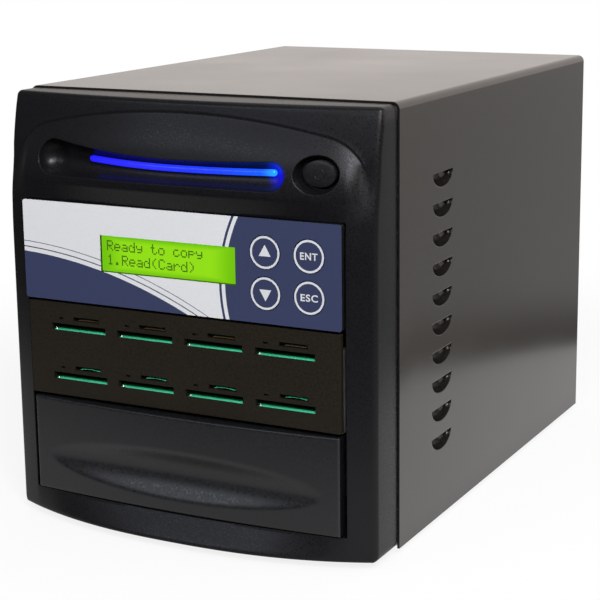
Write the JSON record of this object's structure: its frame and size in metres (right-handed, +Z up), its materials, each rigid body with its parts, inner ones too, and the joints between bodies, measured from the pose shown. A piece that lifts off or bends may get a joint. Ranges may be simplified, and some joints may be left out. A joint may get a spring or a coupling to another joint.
{
  "type": "sd card duplicator",
  "caption": "Desktop SD card duplicator: sheet case with louvres, bulged front bezel with light bar and power button, LCD panel with keys, card slots and a blank bay.",
  "frame": {"origin": "on the surface it stands on, under the middle of the whole object", "axes": "+Z up; -Y towards the front with the display and card slots; +X to the right as seen from the front"},
  "size_m": [0.174, 0.2642, 0.1858],
  "materials": {
    "powder_coat": "fine dark grey powder coat",
    "galvanised": "galvanised sheet",
    "black_abs": "fine spark-eroded texture",
    "black_nylon": "plain moulded",
    "printed_film": "white printed polyester film on a plastic plate",
    "key_film": "navy printed key tops",
    "lcd": "backlit yellow-green display",
    "light_guide": "clear blue acrylic light guide",
    "circuit_board": "green solder resist",
    "steel": "nickel-plated",
    "aluminium": "extruded",
    "rubber": "moulded",
    "cable": "flexible jacket"
  },
  "bodies": {
    "case": {"base_pan": "galvanised", "bay_bracket_left": "galvanised", "bay_bracket_right": "galvanised", "blank_bay_cover": "black_abs", "card_bay_tray": "galvanised", "card_board_lower": "circuit_board", "card_board_upper": "circuit_board", "card_faceplate": "black_abs", "card_socket_1": "steel", "card_socket_2": "steel", "card_socket_3": "steel", "card_socket_4": "steel", "card_socket_5": "steel", "card_socket_6": "steel", "card_socket_7": "steel", "card_socket_8": "steel", "case_fan_frame": "black_nylon", "case_fan_guard": "steel", "controller_board": "circuit_board", "controller_heatsink": "aluminium", "cover_screw_lower_left": "steel", "cover_screw_lower_right": "steel", "cover_screw_upper_left": "steel", "cover_screw_upper_right": "steel", "data_ribbon": "cable", "foot_front_left": "rubber", "foot_front_right": "rubber", "foot_rear_left": "rubber", "foot_rear_right": "rubber", "front_bezel": "black_abs", "front_frame": "galvanised", "keypad_board": "circuit_board", "lcd_bay_tray": "galvanised", "lcd_faceplate": "printed_film", "lcd_module": "lcd", "light_bar": "light_guide", "light_board": "circuit_board", "mains_inlet": "black_nylon", "mains_switch_housing": "black_nylon", "power_harness": "cable", "power_switch": "black_nylon", "rear_panel": "galvanised", "supply_board": "circuit_board", "supply_case": "galvanised", "supply_fan_frame": "black_nylon", "supply_fan_guard": "steel", "supply_screw_lower_left": "steel", "supply_screw_lower_right": "steel", "supply_screw_upper_left": "steel", "supply_screw_upper_right": "steel", "top_cover": "powder_coat"},
    "power_button": {"power_button": "black_nylon"},
    "key_up": {"key_up": "key_film"},
    "key_down": {"key_down": "key_film"},
    "key_enter": {"key_enter": "key_film"},
    "key_escape": {"key_escape": "key_film"},
    "mains_rocker": {"mains_rocker": "black_nylon"},
    "supply_fan_rotor": {"supply_fan_rotor": "black_nylon"},
    "case_fan_rotor": {"case_fan_rotor": "black_nylon"}
  },
  "joints": [
    {"name": "power_button_push", "type": "slide", "parent": "case", "child": "power_button", "axis": [0, 1, 0], "range_m": [0, 0.0025], "stiffness_N_per_m": 400, "springref_m": -0.001},
    {"name": "key_up_push", "type": "slide", "parent": "case", "child": "key_up", "axis": [0, 1, 0], "range_m": [0, 0.0005], "stiffness_N_per_m": 1500, "springref_m": -0.0004},
    {"name": "key_down_push", "type": "slide", "parent": "case", "child": "key_down", "axis": [0, 1, 0], "range_m": [0, 0.0005], "stiffness_N_per_m": 1500, "springref_m": -0.0004},
    {"name": "key_enter_push", "type": "slide", "parent": "case", "child": "key_enter", "axis": [0, 1, 0], "range_m": [0, 0.0005], "stiffness_N_per_m": 1500, "springref_m": -0.0004},
    {"name": "key_escape_push", "type": "slide", "parent": "case", "child": "key_escape", "axis": [0, 1, 0], "range_m": [0, 0.0005], "stiffness_N_per_m": 1500, "springref_m": -0.0004},
    {"name": "mains_rocker_tilt", "type": "hinge", "parent": "case", "child": "mains_rocker", "pos_m": [0.037, 0.12721, 0.12805], "axis": [0, 0, 1], "range_deg": [-18, 0]},
    {"name": "supply_fan_spin", "type": "hinge", "parent": "case", "child": "supply_fan_rotor", "pos_m": [-0.0245, 0.11321, 0.14455], "axis": [0, 1, 0], "continuous": true},
    {"name": "case_fan_spin", "type": "hinge", "parent": "case", "child": "case_fan_rotor", "pos_m": [-0.03, 0.11321, 0.061], "axis": [0, 1, 0], "continuous": true}
  ]
}
